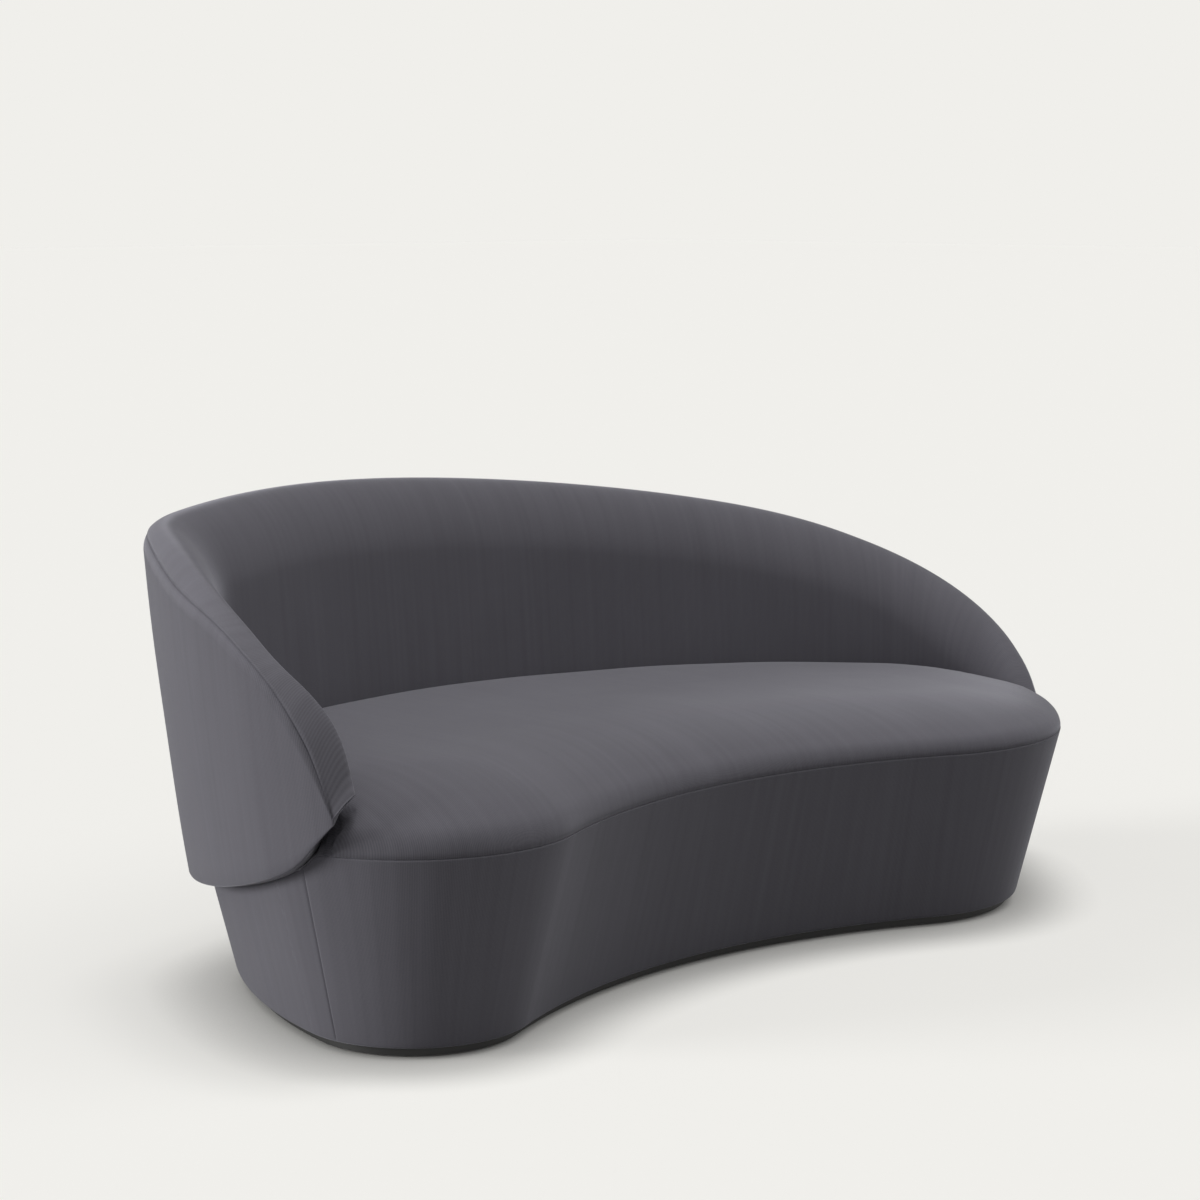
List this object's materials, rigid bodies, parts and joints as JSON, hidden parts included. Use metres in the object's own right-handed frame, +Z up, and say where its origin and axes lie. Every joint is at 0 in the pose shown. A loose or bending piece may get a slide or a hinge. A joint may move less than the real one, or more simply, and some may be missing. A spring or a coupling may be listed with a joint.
{
  "type": "sofa",
  "caption": "Curved three-seater sofa with a kidney-shaped upholstered seat and a thin back that wraps round from one arm and slopes down to the other end.",
  "frame": {"origin": "on the floor, below the middle of the overall bounding box", "axes": "+X along the sofa, to the right of someone facing it; +Y towards the back; +Z up"},
  "size_m": [2.0396, 1.0174, 0.7941],
  "materials": {
    "grey_fabric": "fine ribbed weave, matt anthracite grey",
    "black_cloth": "thin non-woven cloth, matt black",
    "felt": "pressed felt, matt off-white",
    "webbing": "woven elastic strap, matt brown",
    "foam": "open-cell upholstery foam, matt cream",
    "black_wood": "board stained black, matt",
    "plywood": "raw birch plywood",
    "timber": "planed beech, untreated",
    "glide_plastic": "hard plastic, matt black",
    "steel": "zinc-plated steel"
  },
  "bodies": {
    "root": {"glides": "glide_plastic", "plinth": "black_wood", "dust_cover": "black_cloth", "base_ring": "plywood", "base_cross_pieces": "plywood", "seat_ribs": "plywood", "support_posts": "timber", "deck_rails": "timber", "deck_ring": "plywood", "side_wall": "plywood", "lengthwise_straps": "webbing", "crosswise_straps": "webbing", "bed_felt": "felt", "side_foam": "foam", "skirt_cover": "grey_fabric", "seat_foam": "foam", "seat_top_cover": "grey_fabric", "back_bottom_rail": "timber", "back_top_rail": "timber", "back_ribs": "timber", "back_panel": "plywood", "back_bands": "webbing", "back_outside_foam": "foam", "back_inside_foam": "foam", "back_outside_cover": "grey_fabric", "back_inside_cover": "grey_fabric", "back_bottom_strip": "black_cloth", "bolt_blocks": "timber", "back_bolts": "steel"}
  },
  "joints": []
}
